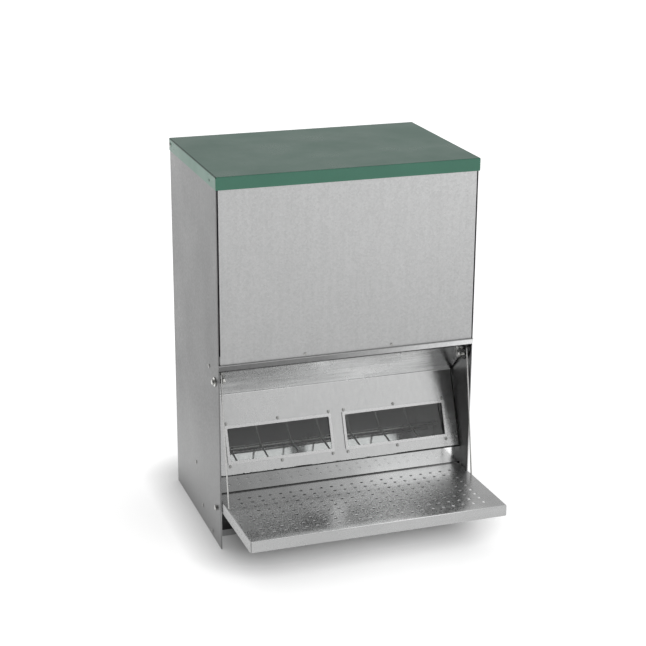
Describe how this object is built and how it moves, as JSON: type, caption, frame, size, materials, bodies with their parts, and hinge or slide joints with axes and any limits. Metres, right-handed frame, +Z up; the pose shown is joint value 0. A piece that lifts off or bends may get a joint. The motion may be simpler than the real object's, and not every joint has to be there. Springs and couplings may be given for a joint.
{
  "type": "treadle poultry feeder",
  "caption": "Sheet-steel gravity hopper with a green lid and a windowed flap that a perforated treadle pulls open.",
  "frame": {"origin": "centre of the body's footprint, on the surface it stands on (the underside of the base tray)", "axes": "+X to the feeder's right as one faces it, +Y towards its back, +Z up; the treadle is towards -Y"},
  "size_m": [0.4286, 0.4353, 0.6],
  "materials": {
    "galvanised": "bright galvanised sheet with a fine spangle",
    "green_paint": "semi-gloss",
    "clear_plastic": "clear",
    "zinc_plate": "bright zinc plate",
    "rivet_alloy": "satin"
  },
  "bodies": {
    "cabinet": {"left_side_wall": "galvanised", "right_side_wall": "galvanised", "rear_wall": "galvanised", "front_panel": "galvanised", "hopper_baffle": "galvanised", "slope_plate": "galvanised", "feed_trough": "galvanised", "base_tray": "galvanised", "anti_waste_grid": "zinc_plate", "front_panel_rivet_left": "rivet_alloy", "front_panel_rivet_right": "rivet_alloy", "baffle_rivet_left": "rivet_alloy", "baffle_rivet_right": "rivet_alloy", "slope_rivet_left": "rivet_alloy", "slope_rivet_right": "rivet_alloy", "trough_rivet_left": "rivet_alloy", "trough_rivet_right": "rivet_alloy", "tray_rivet_left": "rivet_alloy", "tray_rivet_right": "rivet_alloy", "flap_bolt_left": "zinc_plate", "flap_bolt_right": "zinc_plate", "flap_washer_left": "zinc_plate", "flap_washer_right": "zinc_plate", "flap_nut_left": "zinc_plate", "flap_nut_right": "zinc_plate", "treadle_bolt_left": "zinc_plate", "treadle_bolt_right": "zinc_plate", "treadle_nut_left": "zinc_plate", "treadle_nut_right": "zinc_plate", "lid_pin_left": "rivet_alloy", "lid_pin_right": "rivet_alloy"},
    "lid": {"lid": "green_paint"},
    "flap": {"flap_panel": "galvanised", "window_frame_left": "rivet_alloy", "window_frame_right": "rivet_alloy", "window_pane_left": "clear_plastic", "window_pane_right": "clear_plastic", "window_rivet_left_1": "rivet_alloy", "window_rivet_left_2": "rivet_alloy", "window_rivet_left_3": "rivet_alloy", "window_rivet_left_4": "rivet_alloy", "window_rivet_left_5": "rivet_alloy", "window_rivet_left_6": "rivet_alloy", "window_rivet_right_1": "rivet_alloy", "window_rivet_right_2": "rivet_alloy", "window_rivet_right_3": "rivet_alloy", "window_rivet_right_4": "rivet_alloy", "window_rivet_right_5": "rivet_alloy", "window_rivet_right_6": "rivet_alloy"},
    "treadle": {"treadle": "galvanised"},
    "left_rod": {"pull_rod_left": "zinc_plate"},
    "right_rod": {"pull_rod_right": "zinc_plate"}
  },
  "joints": [
    {"name": "lid_hinge", "type": "hinge", "parent": "cabinet", "child": "lid", "pos_m": [0, 0.1325, 0.59], "axis": [-1, 0, 0], "range_deg": [0, 100]},
    {"name": "treadle_hinge", "type": "hinge", "parent": "cabinet", "child": "treadle", "pos_m": [0, -0.116, 0.0618], "axis": [1, 0, 0], "range_deg": [0, 10.68], "stiffness_Nm_per_rad": 1.2, "springref_deg": -34.38},
    {"name": "flap_hinge", "type": "hinge", "parent": "cabinet", "child": "flap", "pos_m": [0, -0.1165, 0.273], "axis": [1, 0, 0], "range_deg": [0, 30]},
    {"name": "left_rod_foot", "type": "hinge", "parent": "treadle", "child": "left_rod", "pos_m": [-0.2033, -0.167, 0.0802], "axis": [1, 0, 0], "range_deg": [-9.8, 0]},
    {"name": "right_rod_foot", "type": "hinge", "parent": "treadle", "child": "right_rod", "pos_m": [0.2033, -0.167, 0.0802], "axis": [1, 0, 0], "range_deg": [-9.8, 0]}
  ],
  "couplings": [
    {"joint": "flap_hinge", "follows": "treadle_hinge", "ratio": 2.808},
    {"joint": "left_rod_foot", "follows": "treadle_hinge", "ratio": -0.915},
    {"joint": "right_rod_foot", "follows": "treadle_hinge", "ratio": -0.915}
  ]
}
